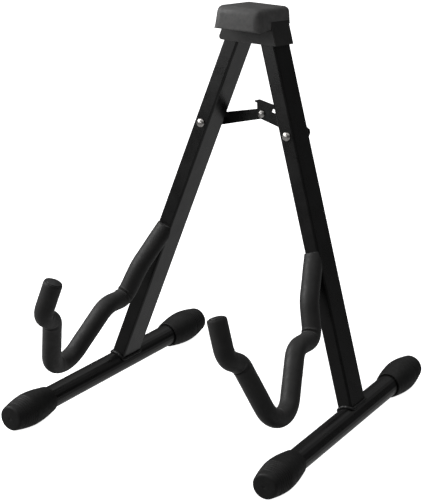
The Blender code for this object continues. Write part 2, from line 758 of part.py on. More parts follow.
def bar_outline(side):
    """A bar from its leg bolt to the middle rivet, as (across, up), with the tab's web if it's the right one."""
    outer, inner = BAR_WIDTH / 2, BAR_INNER_END_RADIUS
    points = arc((0, 0), outer, 90, 270, 8)
    if side == "right":
        points += arc((BAR_LENGTH, 0), inner, -90, 0, 4)
        points += [(BAR_LENGTH + past * MM, up * MM) for past, up in TAB_WEB]
    else:
        points += arc((BAR_LENGTH, 0), inner, -90, 90, 8)
    return [(-SIDES[side] * x, y) for x, y in points]


def make_bars(frames):
    """The two bars of the brace, and the tab on the right one that rests over the left one."""
    rivet_hole = RIVET_RADIUS + BORE_PLAY
    bars = {}
    for side, front in (("right", RIGHT_BAR_FRONT), ("left", LEFT_BAR_FRONT)):
        rivet_at = (-SIDES[side] * BAR_LENGTH, 0)
        outlines = [bar_outline(side), circle(BORE_RADIUS), circle(rivet_hole, rivet_at)]
        bars[side] = to_mesh(
            outline_curve(
                f"brace_bar_{side}",
                outlines,
                BAR_SHEET,
                PARTS,
                frames[side]["bolt"],
                location=(0, front + BAR_SHEET / 2, 0),
                rotation=(math.radians(90), 0, 0),
            )
        )
    tab_middle = TAB_LENGTH / 2 - BAR_LENGTH - TAB_PAST_RIVET
    tab = box(
        "tab_plate",
        (-TAB_LENGTH / 2, 0, -TAB_SHEET / 2),
        (TAB_LENGTH / 2, TAB_DEPTH, TAB_SHEET / 2),
        CUTTERS,
        frames["right"]["bolt"],
        location=(tab_middle, RIGHT_BAR_FRONT - TAB_LEDGE, TAB_RISE),
        rotation=(0, -TAB_TILT, 0),
    )
    boolean(bars["right"], tab, "UNION")
    for bar in bars.values():
        finish(bar, PAINT)


def make_rivet(frames):
    """The middle rivet: its head and shank stay with the right bar, and its tail with the left bar."""
    axis = frames["rivet"]
    bore = RIVET_RADIUS + BORE_PLAY
    bolt(
        "brace_rivet",
        RIVET_HEAD_RADIUS,
        RIVET_HEAD_HEIGHT,
        RIVET_RADIUS,
        RIGHT_BAR_FRONT - GAP,
        LEFT_BAR_FRONT - GAP,
        axis,
    )
    middle_front = RIGHT_BAR_BACK + GAP
    washer("brace_middle_washer", WASHER_RADIUS, bore, middle_front, middle_front + WASHER_SHEET, axis, NYLON)
    tail_back = LEFT_BAR_BACK + GAP
    profile = dome_profile(RIVET_HEAD_RADIUS, RIVET_TAIL_HEIGHT, 0, 4)
    stub = tail_back - LEFT_BAR_FRONT
    profile += [(RIVET_RADIUS, 0), (RIVET_RADIUS, -stub), (0, -stub)]
    where = {"location": (0, tail_back, 0), "rotation": (math.radians(-90), 0, 0)}
    finish(turned("brace_rivet_tail", profile, axis, **where), NICKEL)


clear_scene()
PARTS = new_collection("a_frame_stand")
CUTTERS = new_collection("cutters")
FRAMES = make_frames()
for SIDE in SIDES:
    make_leg(SIDE, FRAMES)
    make_foot(SIDE, FRAMES)
    make_foot_weld(SIDE, FRAMES)
    make_arm(SIDE, FRAMES)
make_bracket(FRAMES)
make_pad(FRAMES)
make_pivot(FRAMES)
make_brace_bolts(FRAMES)
make_bars(FRAMES)
make_rivet(FRAMES)
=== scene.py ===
"""Looks of the folding guitar stand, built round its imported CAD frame."""

import json
import math

import bmesh
import bpy
from mathutils import Matrix, Vector, noise


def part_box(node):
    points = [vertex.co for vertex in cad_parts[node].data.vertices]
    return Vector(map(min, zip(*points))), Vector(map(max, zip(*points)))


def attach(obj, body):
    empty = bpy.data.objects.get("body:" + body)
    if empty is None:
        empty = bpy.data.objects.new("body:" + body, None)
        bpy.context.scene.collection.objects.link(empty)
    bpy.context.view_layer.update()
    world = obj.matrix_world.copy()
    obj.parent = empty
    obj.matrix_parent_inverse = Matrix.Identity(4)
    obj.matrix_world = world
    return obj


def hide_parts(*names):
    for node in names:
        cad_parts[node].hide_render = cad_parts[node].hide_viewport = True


MM = 0.001
SIDES = {"right": 1, "left": -1}
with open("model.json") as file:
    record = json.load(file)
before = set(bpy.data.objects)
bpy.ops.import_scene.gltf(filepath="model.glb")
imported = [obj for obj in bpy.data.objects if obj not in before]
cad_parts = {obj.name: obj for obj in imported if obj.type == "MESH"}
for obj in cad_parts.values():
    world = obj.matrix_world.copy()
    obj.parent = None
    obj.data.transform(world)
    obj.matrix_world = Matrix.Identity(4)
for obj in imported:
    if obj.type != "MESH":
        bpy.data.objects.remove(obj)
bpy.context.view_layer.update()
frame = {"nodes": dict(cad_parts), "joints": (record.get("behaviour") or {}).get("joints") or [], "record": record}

# The photograph's view: a long lens, a little above the stand and to its right
CAMERA_AZIMUTH = math.radians(31.545)
CAMERA_ELEVATION = math.radians(19.069)
CAMERA_DISTANCE = 1.847
CAMERA_TARGET = (-0.02724, 0.02693, 0.1520)
CAMERA_LENS = 136.8

# Sizes that the finished pieces share with the CAD solids they stand for
GAP = 0.3 * MM
LEG_FACE = 15.0 * MM  # front face of a leg from its middle
LEG_HALF_WIDTH = 7.5 * MM
FOOT_RADIUS = 11.0 * MM
CAP_LENGTH = 57.0 * MM
CAP_BULGE_AT = 0.52  # share of the cap's length
CAP_COLLAR_RADIUS = 12.9 * MM
CAP_BULGE_RADIUS = 16.3 * MM
CAP_END_RADIUS = 12.6 * MM
CAP_TAPER = 1.6  # power of the curve from the bulge to the end
CAP_EDGE = 3.0 * MM  # rounding of the end
PAD_TOP = 25.3 * MM  # below the apex, as are the next three
PAD_BOTTOM = 47.3 * MM
PAD_ROOF = 28.2 * MM  # the top of the bracket's pocket
PAD_SKIRT = 41.0 * MM  # below this the pocket is as wide as the pad
PAD_BOTTOM_RISE = 6.0 * MM
PAD_RIGHT = 24.5 * MM
PAD_LEFT = 26.8 * MM
PAD_FRONT = 40.0 * MM
PAD_REAR = 21.5 * MM
PAD_POCKET_HALF_DEPTH = 17.6 * MM
PAD_POCKET_RIGHT = 10.1 * MM  # from the right leg's axis
BRACKET_OVERHANG = 4.8 * MM
ARM_CORNERS = [(164.0, 6.3), (117.2, 37.0), (83.2, 44.7), (81.3, 77.0)]  # mm up the leg and ahead of its axis
ARM_CORNERS += [(1.7, 129.6), (87.6, 171.1), (96.5, 192.1), (133.0, 192.5)]
ARM_BENDS = [35.0, 14.0, 20.0, 26.0, 12.5, 14.5]  # mm, one radius for each inner corner
ARM_TOE_IN = math.radians(1.16)
FOAM_RADIUS = 9.2 * MM
FOAM_TOP = 160.0 * MM

# Details that only the finished pieces have
CREASES = ((2, 1.5, 1.6), (4, 0.5, 3.0), (5, 1.1, 2.0), (6, 1.1, 2.0))  # arm corner, mm deep, points wide
FOAM_SPACING = 1.0 * MM
FOAM_END_ROUND = 1.2 * MM
TIP_RADIUS = 7.3 * MM
TIP_RIM = 1.0 * MM
TIP_DOME = 1.0 * MM
TIP_SUNK = 2.0 * MM
TIP_OFF_MIDDLE = 0.5 * MM
CAP_LIP = 0.8 * MM
CAP_GROOVES = 6
CAP_GROOVE_DEPTH = 0.55 * MM
CAP_GROOVED = (0.16, 0.88)  # shares of the way from the bulge to the shoulder
PAD_TAPER = 0.925  # width at the top over width at the bottom
PAD_ROUNDING = 7.5 * MM
PAD_STEP_FRONT = 17.5 * MM  # how far ahead of the middle plane the step in the side starts
PAD_STEP_DEPTH = 0.5 * MM
WELD_OFF = 0.7 * MM
WELD_CORNER = 3.0 * MM
WELD_RADIUS = 1.35 * MM
WELD_SPACING = 0.5 * MM
BOLT_HEAD = (4.3 * MM, 2.7 * MM, 0.7 * MM)  # radius, height and flange
BOLT_SHANK = 1.95 * MM
BOLT_THREAD = 9.0 * MM
BOLT_PITCH = 0.8 * MM
RIVET_HEAD = (4.0 * MM, 2.3 * MM, 0.4 * MM)
RIVET_TAIL = (4.0 * MM, 1.9 * MM, 0.3 * MM)
RIVET_SHANK = 2.15 * MM
SHEET_EDGES = {"head_bracket": 0.9, "brace_bar_right": 0.35, "brace_bar_left": 0.35, "pivot_nut": 0.4}  # mm
SHEET_EDGES.update({f"brace_nut_{side}": 0.35 for side in SIDES})

# Studio
WORLD_STOPS = ((0.0, 0.34), (0.25, 0.34), (0.41, 0.17), (0.46, 0.05), (0.64, 0.05), (0.78, 0.2))
WORLD_STOPS += ((0.92, 0.75),)  # share of the way from straight down to straight up, and brightness
KEY = ((-1.17, -0.60, 1.02), (0, 0, 0.2), (1.1, 0.9), 19.5)  # place, aim, size in metres, power in watts
LOW_CARD = ((-0.65, -1.07, 0.46), (0, 0, 0.42), (1.0, 0.22), 1.3)
FLOOR_SIZE = 6  # metres, half its width
FLOOR_DROP = 0.4 * MM


# ---------------------------------------------------------------- where things are, from the frame


def joint(name):
    return next(j for j in frame["joints"] if j["name"] == name)


def leg_matrix(side):
    """A leg's own frame: origin on the foot tube's axis, Z up the leg and Y to the rear."""
    sign = SIDES[side]
    pivot = Vector(joint("leg_fold")["pos_m"])
    bolt = Vector(joint("brace_left_swing")["pos_m"])
    up = (pivot - bolt).normalized()
    up.x *= -sign
    bolt.x *= -sign
    low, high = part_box(f"foot_tube_{side}")
    foot = bolt - up * ((bolt.z - (low.z + high.z) / 2) / up.z)
    return axes_matrix(foot, -NORMAL, up)


def axes_matrix(origin, y_axis, z_axis):
    matrix = Matrix((y_axis.cross(z_axis), y_axis, z_axis)).transposed().to_4x4()
    matrix.translation = origin
    return matrix


NORMAL = Vector(joint("leg_fold")["axis"]).normalized()  # out of the A's front
PLUMB = Vector((0, NORMAL.z, -NORMAL.y))  # up the A's middle
LEG = {side: leg_matrix(side) for side in SIDES}
LEG_UP = {side: LEG[side].to_3x3() @ Vector((0, 0, 1)) for side in SIDES}
LEG_ANGLE = math.acos(LEG_UP["right"].dot(PLUMB))
FOOT_SPLAY = math.asin(math.sqrt(1 - PLUMB.z**2) * math.sin(LEG_ANGLE))
APEX = LEG["right"].translation + LEG_UP["right"] * (LEG["right"].translation.x / math.sin(LEG_ANGLE))
PLANE = axes_matrix(APEX, -NORMAL, PLUMB)  # Z up the A, origin where the legs' axes cross
ARM = {side: LEG[side] @ Matrix.Rotation(-SIDES[side] * ARM_TOE_IN, 4, "Z") for side in SIDES}


# ---------------------------------------------------------------- materials


class Surface:
    """A Principled material and short ways to add nodes to it."""

    def __init__(self, name, rough, metal=0.0, **sockets):
        self.material = bpy.data.materials.new(name)
        self.material.use_nodes = True
        self.tree = self.material.node_tree
        self.shader = self.tree.nodes["Principled BSDF"]
        self.shader.inputs["Roughness"].default_value = rough
        self.shader.inputs["Metallic"].default_value = metal
        for socket, value in sockets.items():
            self.shader.inputs[socket.replace("_", " ")].default_value = value
        self.place = self.tree.nodes.new("ShaderNodeTexCoord")
        self.height = None

    def link(self, output, target):
        self.tree.links.new(output, target)

    def noise(self, scale, detail=2.0, roughness=0.5, stretch=(1, 1, 1)):
        mapping = self.tree.nodes.new("ShaderNodeMapping")
        mapping.inputs["Scale"].default_value = stretch
        self.link(self.place.outputs["Object"], mapping.inputs["Vector"])
        node = self.tree.nodes.new("ShaderNodeTexNoise")
        node.inputs["Scale"].default_value = scale
        node.inputs["Detail"].default_value = detail
        node.inputs["Roughness"].default_value = roughness
        self.link(mapping.outputs["Vector"], node.inputs["Vector"])
        return node.outputs["Fac"]

    def cells(self, scale):
        node = self.tree.nodes.new("ShaderNodeTexVoronoi")
        node.inputs["Scale"].default_value = scale
        self.link(self.place.outputs["Object"], node.inputs["Vector"])
        return node.outputs["Distance"]

    def remap(self, value, low, high, start=0.3, stop=0.7):
        node = self.tree.nodes.new("ShaderNodeMapRange")
        node.inputs["From Min"].default_value = start
        node.inputs["From Max"].default_value = stop
        node.inputs["To Min"].default_value = low
        node.inputs["To Max"].default_value = high
        self.link(value, node.inputs["Value"])
        return node.outputs["Result"]

    def colours(self, value, *stops):
        """Base colour from a ramp through (position, (r, g, b)) stops."""
        ramp = self.tree.nodes.new("ShaderNodeValToRGB")
        elements = ramp.color_ramp.elements
        while len(elements) < len(stops):
            elements.new(0.5)
        for element, (position, colour) in zip(elements, stops):
            element.position = position
            element.color = (*colour, 1)
        self.link(value, ramp.inputs["Fac"])
        self.link(ramp.outputs["Color"], self.shader.inputs["Base Color"])

    def rough(self, value, low, high):
        self.link(self.remap(value, low, high), self.shader.inputs["Roughness"])

    def bump(self, value, depth, strength=1.0):
        """Adds relief of this depth in metres to what is there."""
        node = self.tree.nodes.new("ShaderNodeBump")
        node.inputs["Strength"].default_value = strength
        node.inputs["Distance"].default_value = depth
        self.link(value, node.inputs["Height"])
        if self.height:
            self.link(self.height, node.inputs["Normal"])
        self.height = node.outputs["Normal"]
        self.link(self.height, self.shader.inputs["Normal"])


def grey(value, warmth=0.0):
    return (value * (1 + warmth), value, value * (1 - warmth))


def paint(name, tone, low=0.24, high=0.34):
    """Black powder coat: a fine orange peel, with slow changes in tone and gloss."""
    surface = Surface(name, 0.35)
    slow = surface.noise(28, 3)
    surface.colours(slow, (0.3, grey(tone * 0.75)), (0.7, grey(tone * 1.35, 0.03)))
    surface.rough(surface.noise(60, 4, 0.6), low, high)
    surface.bump(surface.noise(650, 2), 0.00006, 0.35)
    surface.bump(surface.noise(2600, 2), 0.00002, 0.3)
    return surface.material


def foam_skin():
    """Closed-cell foam with its moulded skin: soft sheen, fine pores and slow unevenness."""
    surface = Surface("foam_skin", 0.55, Sheen_Weight=0.12, Sheen_Roughness=0.45, Specular_IOR_Level=0.4)
    surface.colours(surface.noise(45, 5, 0.6), (0.3, grey(0.009)), (0.7, grey(0.017, 0.03)))
    surface.rough(surface.noise(220, 3), 0.5, 0.64)
    surface.bump(surface.noise(120, 3), 0.0004, 0.25)
    surface.bump(surface.cells(1500), 0.00012, 0.35)
    return surface.material


def cap_rubber():
    surface = Surface("cap_rubber", 0.6, Specular_IOR_Level=0.35)
    surface.colours(surface.noise(70, 5, 0.65), (0.3, grey(0.004)), (0.7, grey(0.011, 0.02)))
    surface.rough(surface.noise(300, 3), 0.5, 0.7)
    surface.bump(surface.noise(1400, 3), 0.00008, 0.4)
    return surface.material


def pad_rubber():
    """Softer, greyer rubber with a mottled, lightly grained face."""
    surface = Surface("pad_rubber", 0.55, Specular_IOR_Level=0.4)
    surface.colours(
        surface.noise(160, 6, 0.7), (0.25, grey(0.056)), (0.5, grey(0.08, 0.01)), (0.75, grey(0.105, 0.02))
    )
    surface.rough(surface.noise(260, 3), 0.45, 0.62)
    surface.bump(surface.noise(420, 4, 0.65), 0.00025, 0.35)
    surface.bump(surface.cells(1800), 0.00008, 0.3)
    return surface.material


def tip_rubber():
    surface = Surface("tip_rubber", 0.45)
    surface.colours(surface.noise(240, 4), (0.3, grey(0.010)), (0.7, grey(0.020)))
    surface.rough(surface.noise(500, 3), 0.36, 0.55)
    surface.bump(surface.noise(900, 3), 0.0001, 0.35)
    return surface.material


def nickel():
    """Bright plating with faint polishing lines and a little tarnish."""
    surface = Surface("nickel", 0.2, metal=1.0)
    surface.colours(surface.noise(500, 4), (0.3, grey(0.5, 0.05)), (0.7, grey(0.7, 0.03)))
    surface.rough(surface.noise(900, 3, stretch=(1, 1, 6)), 0.2, 0.34)
    surface.bump(surface.noise(3000, 2, stretch=(1, 1, 8)), 0.00001, 0.3)
    return surface.material


def nylon():
    surface = Surface("nylon", 0.5)
    surface.colours(surface.noise(300, 3), (0.3, grey(0.025)), (0.7, grey(0.035)))
    surface.rough(surface.noise(500, 2), 0.42, 0.58)
    surface.bump(surface.noise(1200, 2), 0.00003, 0.3)
    return surface.material


def weld_metal():
    """A painted-over bead, lumpier than the tubes."""
    surface = Surface("weld_paint", 0.4, Specular_IOR_Level=0.35)
    surface.colours(surface.noise(400, 4), (0.3, grey(0.003)), (0.7, grey(0.007)))
    surface.rough(surface.noise(700, 4), 0.3, 0.5)
    surface.bump(surface.noise(800, 4, 0.6), 0.0002, 0.5)
    return surface.material


def floor_paper():
    """White studio paper that glows a little, so that it stays white."""
    surface = Surface("floor_paper", 0.9, Emission_Color=(1, 1, 1, 1), Emission_Strength=1.0)
    surface.colours(surface.noise(6, 2), (0.3, grey(0.86)), (0.7, grey(0.9)))
    return surface.material


LOOKS = {
    "frame_paint": paint("frame_paint", 0.004),
    "bracket_paint": paint("bracket_paint", 0.020, 0.38, 0.5),
    "brace_paint": paint("brace_paint", 0.007),
    "rod_steel": paint("rod_steel", 0.02),
    "cap_rubber": cap_rubber(),
    "pad_rubber": pad_rubber(),
    "foam": foam_skin(),
    "tip_rubber": tip_rubber(),
    "hardware": nickel(),
    "nylon": nylon(),
}


# ---------------------------------------------------------------- building


def object_of(name, mesh, matrix=Matrix.Identity(4)):
    obj = bpy.data.objects.new(name, mesh)
    bpy.context.scene.collection.objects.link(obj)
    obj.matrix_world = matrix
    return obj


def finished(obj, body, slot, *nodes, material=None, angle=40):
    """Shades a piece, gives it its material and fixes it to its body in place of the CAD nodes."""
    obj.data.transform(obj.matrix_world)
    obj.matrix_world = Matrix.Identity(4)
    obj.data.shade_smooth()
    obj.data.set_sharp_from_angle(angle=math.radians(angle))
    obj.data.materials.clear()
    obj.data.materials.append(material or LOOKS[slot])
    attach(obj, body)
    if nodes:
        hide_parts(*nodes)
    return obj


def lathe(name, profile, matrix, steps=64):
    """A turned piece from its outer profile, (radius, height) points about local Z."""
    mesh = bpy.data.meshes.new(name)
    work = bmesh.new()
    line = [work.verts.new((radius, 0, height)) for radius, height in profile]
    edges = [work.edges.new(pair) for pair in zip(line, line[1:])]
    bmesh.ops.spin(
        work,
        geom=line + edges,
        cent=(0, 0, 0),
        axis=(0, 0, 1),
        angle=2 * math.pi,
        steps=steps,
        use_merge=True,
    )
    bmesh.ops.remove_doubles(work, verts=work.verts, dist=0.000002)
    bmesh.ops.recalc_face_normals(work, faces=work.faces)
    work.to_mesh(mesh)
    work.free()
    return object_of(name, mesh, matrix)


def sweep(name, points, ring, sides, side_axis, matrix=Matrix.Identity(4), closed=False):
    """A tube through points. ring(i, angle) gives its radius, and angle 0 points along side_axis."""
    mesh = bpy.data.meshes.new(name)
    work = bmesh.new()
    loops = []
    for i, point in enumerate(points):
        if closed:
            before, after = points[i - 1], points[(i + 1) % len(points)]
        else:
            before, after = points[max(0, i - 1)], points[min(len(points) - 1, i + 1)]
        along = (after - before).normalized()
        first = side_axis if isinstance(side_axis, Vector) else side_axis[i]
        first = (first - along * first.dot(along)).normalized()
        second = along.cross(first)
        loop = []
        for k in range(sides):
            angle = 2 * math.pi * k / sides
            out = first * math.cos(angle) + second * math.sin(angle)
            loop.append(work.verts.new(point + out * ring(i, angle)))
        loops.append(loop)
    pairs = list(zip(loops, loops[1:])) + ([(loops[-1], loops[0])] if closed else [])
    for one, two in pairs:
        for k in range(sides):
            n = (k + 1) % sides
            work.faces.new((one[k], one[n], two[n], two[k]))
    if not closed:
        work.faces.new(loops[0][::-1])
        work.faces.new(loops[-1])
    bmesh.ops.recalc_face_normals(work, faces=work.faces)
    work.to_mesh(mesh)
    work.free()
    return object_of(name, mesh, matrix)


def box(low, high, matrix):
    low, high = Vector(low), Vector(high)
    mesh = bpy.data.meshes.new("cutter")
    work = bmesh.new()
    size = Matrix.Diagonal((*(high - low), 1))
    bmesh.ops.create_cube(work, size=1, matrix=Matrix.Translation((low + high) / 2) @ size)
    work.to_mesh(mesh)
    work.free()
    return object_of("cutter", mesh, matrix)


def apply_modifiers(obj):
    bpy.context.view_layer.update()
    mesh = bpy.data.meshes.new_from_object(obj.evaluated_get(bpy.context.evaluated_depsgraph_get()))
    obj.modifiers.clear()
    obj.data = mesh


def cut(obj, *cutters):
    for cutter in cutters:
        modifier = obj.modifiers.new("cut", "BOOLEAN")
        modifier.object = cutter
    apply_modifiers(obj)
    for cutter in cutters:
        bpy.data.objects.remove(cutter)


def fillet(before, corner, after, radius, step=4.0):
    """Points along the arc that rounds a corner, one every few degrees."""
    into, out = (before - corner).normalized(), (after - corner).normalized()
    opening = into.angle(out)
    centre = corner + (into + out).normalized() * (radius / math.sin(opening / 2))
    start = corner + into * (radius / math.tan(opening / 2)) - centre
    axis = start.cross(-into).normalized()
    turn = math.pi - opening
    steps = max(3, round(math.degrees(turn) / step))
    return [centre + Matrix.Rotation(turn * i / steps, 3, axis) @ start for i in range(steps + 1)]


def resampled(points, spacing):
    """Evenly spaced points along a path."""
    made, left = [points[0]], spacing
    for one, two in zip(points, points[1:]):
        length = (two - one).length
        while left <= length:
            made.append(one.lerp(two, left / length))
            left += spacing
        left -= length
    if (made[-1] - points[-1]).length < spacing / 2:
        made.pop()
    return made + [points[-1]]


# ---------------------------------------------------------------- foam arms


def arm_line():
    """The arm's middle line in its own frame, and the corners where the foam creases."""
    corners = [Vector((0, -ahead * MM, up * MM)) for up, ahead in ARM_CORNERS]
    points = [corners[0]]
    for i, radius in enumerate(ARM_BENDS, start=1):
        points += fillet(corners[i - 1], corners[i], corners[i + 1], radius * MM)
    return points + [corners[-1]], corners


def crease_list(corners, points):
    """(index along the path, inner direction, depth, width in points) for each tight bend."""
    creases = []
    for i, depth, width in CREASES:
        corner = corners[i]
        before, after = corners[i - 1] - corner, corners[i + 1] - corner
        inner = (before.normalized() + after.normalized()).normalized()
        nearest = min(range(len(points)), key=lambda k: (points[k] - corner).length)
        creases.append((nearest, inner, depth * MM, width))
    return creases


def make_foam(side):
    """The sleeve over the arm's rod, creased in its bends and cut to the leg's face."""
    line, corners = arm_line()
    points = resampled(line, FOAM_SPACING)
    creases = crease_list(corners, points)
    last = len(points) - 1
    across = Vector((1, 0, 0))

    def ring(i, angle):
        along = (points[min(i + 1, last)] - points[max(i - 1, 0)]).normalized()
        out = across * math.cos(angle) + along.cross(across) * math.sin(angle)
        radius = FOAM_RADIUS + 0.12 * MM * noise.noise(points[i] * 90 + out * 0.8)
        for at, inner, depth, width in creases:
            facing = max(0.0, out.dot(inner)) ** 0.7
            gap = (i - at) / width
            radius -= depth * facing * math.exp(-gap * gap)
            radius += 0.35 * depth * facing * math.exp(-((abs(gap) - 2.4) ** 2))
            wrinkle = (i - at) / (width * 2.2)
            radius += 0.12 * depth * facing * math.cos(wrinkle * 5.5) * math.exp(-wrinkle * wrinkle)
        to_end = (last - i) * FOAM_SPACING
        if to_end < FOAM_END_ROUND:
            radius -= (FOAM_END_ROUND - to_end) * 0.55
        return radius

    foam = sweep(f"foam_{side}", points, ring, 48, across, ARM[side])
    wide = 3 * FOAM_RADIUS
    behind = box((-wide, -LEG_FACE - GAP, -wide), (wide, 3 * LEG_FACE, 1), LEG[side])
    above = box((-wide, -6 * LEG_FACE, FOAM_TOP), (wide, 3 * LEG_FACE, 1), LEG[side])
    cut(foam, behind, above)
    finished(foam, f"{side}_half", "foam", f"arm_foam_{side}", f"arm_rod_{side}", angle=50)


def make_tip(side):
    """The plug in the end of the sleeve: a domed button, a little off the middle."""
    up, ahead = ARM_CORNERS[-1]
    before_up, before_ahead = ARM_CORNERS[-2]
    lean = math.atan2(ahead - before_ahead, up - before_up)
    end = Matrix.Translation((TIP_OFF_MIDDLE, -ahead * MM, up * MM))
    matrix = ARM[side] @ end @ Matrix.Rotation(lean, 4, "X")
    flat, half_rim = TIP_RADIUS - TIP_RIM * 0.6, TIP_RIM * 0.5
    profile = [(0, -TIP_SUNK), (TIP_RADIUS * 0.96, -TIP_SUNK), (TIP_RADIUS, -TIP_SUNK + half_rim)]
    profile.append((TIP_RADIUS, half_rim))
    for i in range(1, 9):
        a = i / 8 * math.pi / 2
        profile.append((flat + TIP_RIM * 0.6 * math.cos(a), half_rim + half_rim * math.sin(a)))
    for i in range(1, 7):
        share = i / 6
        profile.append((flat * (1 - share), TIP_RIM + TIP_DOME * (1 - (1 - share) ** 2)))
    tip = lathe(f"tip_{side}", profile, matrix, 48)
    for vertex in tip.data.vertices:
        if vertex.co.z > 0:
            vertex.co.z += 0.25 * MM * noise.noise(vertex.co * 260)
    finished(tip, f"{side}_half", "tip_rubber", f"arm_tip_{side}")


# ---------------------------------------------------------------- foot caps


def cap_outline():
    """A foot cap's outer profile from the collar to the end, with its moulded grooves."""
    bulge_at, shoulder = CAP_LENGTH * CAP_BULGE_AT, CAP_LENGTH - CAP_EDGE
    mouth = FOOT_RADIUS + 0.1 * MM
    points = [(mouth, 3.0 * MM), (mouth, CAP_LIP / 2)]
    for i in range(7):
        a = i / 6 * math.pi / 2
        points.append((CAP_COLLAR_RADIUS - CAP_LIP * (1 - math.sin(a)), CAP_LIP * (1 - math.cos(a))))
    steps = 26
    for i in range(1, steps + 1):
        t = i / steps
        rise = (CAP_BULGE_RADIUS - CAP_COLLAR_RADIUS) * math.sin(t * math.pi / 2)
        points.append((CAP_COLLAR_RADIUS + rise, CAP_LIP + (bulge_at - CAP_LIP) * t))
    steps = 90
    first, final = CAP_GROOVED
    for i in range(1, steps + 1):
        t = i / steps
        radius = CAP_BULGE_RADIUS - (CAP_BULGE_RADIUS - CAP_END_RADIUS) * t**CAP_TAPER
        if first < t < final:
            phase = (t - first) / (final - first) * CAP_GROOVES
            radius -= CAP_GROOVE_DEPTH * math.exp(-(((phase % 1) - 0.5) / 0.16) ** 2)
        points.append((radius, bulge_at + (shoulder - bulge_at) * t))
    flat, rounding = CAP_END_RADIUS - CAP_EDGE, CAP_EDGE * 0.95
    for i in range(1, 9):
        a = i / 8 * math.pi / 2
        points.append((flat + CAP_EDGE * math.cos(a), shoulder + rounding * math.sin(a)))
    for i in range(1, 13):
        share = i / 12
        crown = 0.5 * MM * (1 - (1 - share) ** 2)
        dimple = 0.9 * MM * math.exp(-(((1 - share) * flat / (1.3 * MM)) ** 2))
        points.append((flat * (1 - share), shoulder + rounding + crown - dimple))
    return points


def make_cap(side, end):
    """A grooved cap over an end of a foot tube, flat where it meets the floor."""
    mount = next(m for m in frame["record"]["mounts"] if m["name"] == f"foot_{side}_{end}")
    turn = Matrix.Rotation(SIDES[side] * FOOT_SPLAY, 4, "Z")
    away = -1 if end == "front" else 1
    middle = Vector((*mount["pos_m"][:2], LEG[side].translation.z))
    matrix = Matrix.Translation(middle) @ turn @ Matrix.Rotation(math.radians(-90 * away), 4, "X")
    matrix = matrix @ Matrix.Translation((0, 0, -CAP_LENGTH * CAP_BULGE_AT))
    cap = lathe(f"cap_{side}_{end}", cap_outline(), matrix, 96)
    for vertex in cap.data.vertices:
        below = -(matrix @ vertex.co).z
        if below > 0:
            vertex.co += matrix.to_3x3().inverted() @ Vector((0, 0, below))
    finished(cap, f"{side}_half", "cap_rubber", f"foot_cap_{side}_{end}", angle=60)


# ---------------------------------------------------------------- head pad


def make_pad():
    """The rubber pad: a rounded block, narrower at the top, with a pocket for the bracket."""
    bottom, top = -PAD_BOTTOM, -PAD_TOP
    middle = (bottom + top) / 2
    pad = box((-PAD_LEFT, -PAD_FRONT, bottom), (PAD_RIGHT, PAD_REAR, top), PLANE)
    pad.name = pad.data.name = "pad"
    mesh = pad.data
    work = bmesh.new()
    work.from_mesh(mesh)
    for vertex in work.verts:
        if vertex.co.z > middle:
            vertex.co.x *= PAD_TAPER
            vertex.co.y += 0.8 * MM if vertex.co.y < 0 else -0.8 * MM
        elif vertex.co.y > 0:
            vertex.co.z += PAD_BOTTOM_RISE
    layer = work.edges.layers.float.new("bevel_weight_edge")
    for edge in work.edges:
        heights = [v.co.z for v in edge.verts]
        if max(heights) < middle:
            edge[layer] = 0.3 if max(v.co.y for v in edge.verts) < 0 else 0.14
        elif max(v.co.y for v in edge.verts) < 0:
            edge[layer] = 1.0
        else:
            edge[layer] = 0.65
    work.to_mesh(mesh)
    work.free()
    bevel = pad.modifiers.new("rounding", "BEVEL")
    bevel.width, bevel.segments, bevel.limit_method = PAD_ROUNDING, 10, "WEIGHT"
    apply_modifiers(pad)
    draft = (1 - PAD_TAPER) * PAD_RIGHT / (PAD_BOTTOM - PAD_TOP)
    side = Matrix.Translation((PAD_RIGHT - PAD_STEP_DEPTH, 0, bottom))
    side = side @ Matrix.Rotation(-math.atan(draft), 4, "Y")
    step = box((0, -PAD_STEP_FRONT, -0.02), (0.01, 0.04, 0.06), PLANE @ side)
    cut(pad, *pad_cutters(), step)
    finished(pad, "right_half", "pad_rubber", "head_pad", angle=50)


def pad_cutters():
    """The pocket that follows the bracket's slopes, and the space round the hinge's bolt and nut."""
    roof, skirt = -PAD_ROOF, -PAD_SKIRT
    slope = math.tan(LEG_ANGLE)
    right = PAD_POCKET_RIGHT / math.cos(LEG_ANGLE)
    left = (LEG_HALF_WIDTH + BRACKET_OVERHANG + GAP) / math.cos(LEG_ANGLE)
    wide, low = 60 * MM, -100 * MM
    outline = [(-wide, low), (wide, low), (wide, skirt), (right - skirt * slope, skirt)]
    outline += [(right - roof * slope, roof), (-left + roof * slope, roof), (-left + skirt * slope, skirt)]
    outline += [(-wide, skirt)]
    pivot = PLANE.inverted() @ Vector(joint("leg_fold")["pos_m"])
    pocket = prism(outline, -PAD_POCKET_HALF_DEPTH, PAD_POCKET_HALF_DEPTH)
    return pocket, slot_cutter(6.1 * MM, -21.4 * MM, 0, pivot), slot_cutter(6.6 * MM, 0, 40 * MM, pivot)


def prism(outline, front, back):
    """A cutter in the A's plane: its outline's second coordinate runs up."""
    mesh = bpy.data.meshes.new("prism")
    work = bmesh.new()
    face = work.faces.new([work.verts.new((x, front, z)) for x, z in outline])
    made = bmesh.ops.extrude_face_region(work, geom=[face])
    moved = [g for g in made["geom"] if isinstance(g, bmesh.types.BMVert)]
    bmesh.ops.translate(work, verts=moved, vec=(0, back - front, 0))
    bmesh.ops.recalc_face_normals(work, faces=work.faces)
    work.to_mesh(mesh)
    work.free()
    return object_of("prism", mesh, PLANE)


